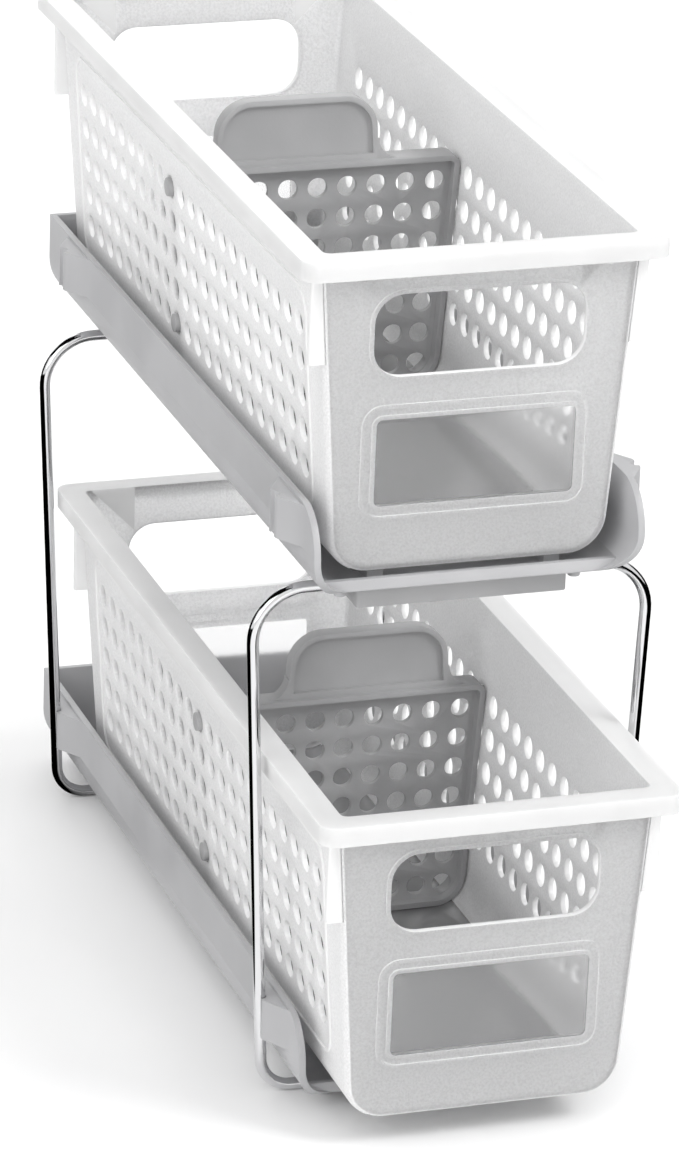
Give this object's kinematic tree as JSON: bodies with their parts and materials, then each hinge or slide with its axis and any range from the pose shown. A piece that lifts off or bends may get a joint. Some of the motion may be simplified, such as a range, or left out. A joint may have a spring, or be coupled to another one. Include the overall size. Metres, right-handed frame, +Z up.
{
  "type": "pull-out cabinet basket",
  "caption": "Two-tier pull-out cabinet basket: perforated frosted baskets with hand holes and snap-in dividers, sliding in trays tied by closed chrome wire hoops.",
  "frame": {"origin": "on the floor, under the middle of the overall box, with the lower basket standing 40 mm out as in the picture", "axes": "+X to the right seen from the front, +Y to the back, so the baskets pull out towards -Y, +Z up"},
  "size_m": [0.157, 0.408, 0.3358],
  "materials": {
    "frosted_plastic": "frosted, slightly translucent moulding",
    "tray_plastic": "satin moulding",
    "grey_plastic": "satin moulding",
    "chrome_wire": "bright plated wire"
  },
  "bodies": {
    "frame": {"upper_tray": "tray_plastic", "lower_tray": "tray_plastic", "front_hoop": "chrome_wire", "rear_hoop": "chrome_wire", "front_bar_clip": "grey_plastic", "rear_bar_clip": "grey_plastic"},
    "upper_basket": {"upper_basket": "frosted_plastic", "upper_divider": "grey_plastic"},
    "lower_basket": {"lower_basket": "frosted_plastic", "lower_divider": "grey_plastic"}
  },
  "joints": [
    {"name": "upper_basket_slide", "type": "slide", "parent": "frame", "child": "upper_basket", "axis": [0, -1, 0], "range_m": [0, 0.25]},
    {"name": "lower_basket_slide", "type": "slide", "parent": "frame", "child": "lower_basket", "axis": [0, -1, 0], "range_m": [-0.04, 0.21]}
  ]
}
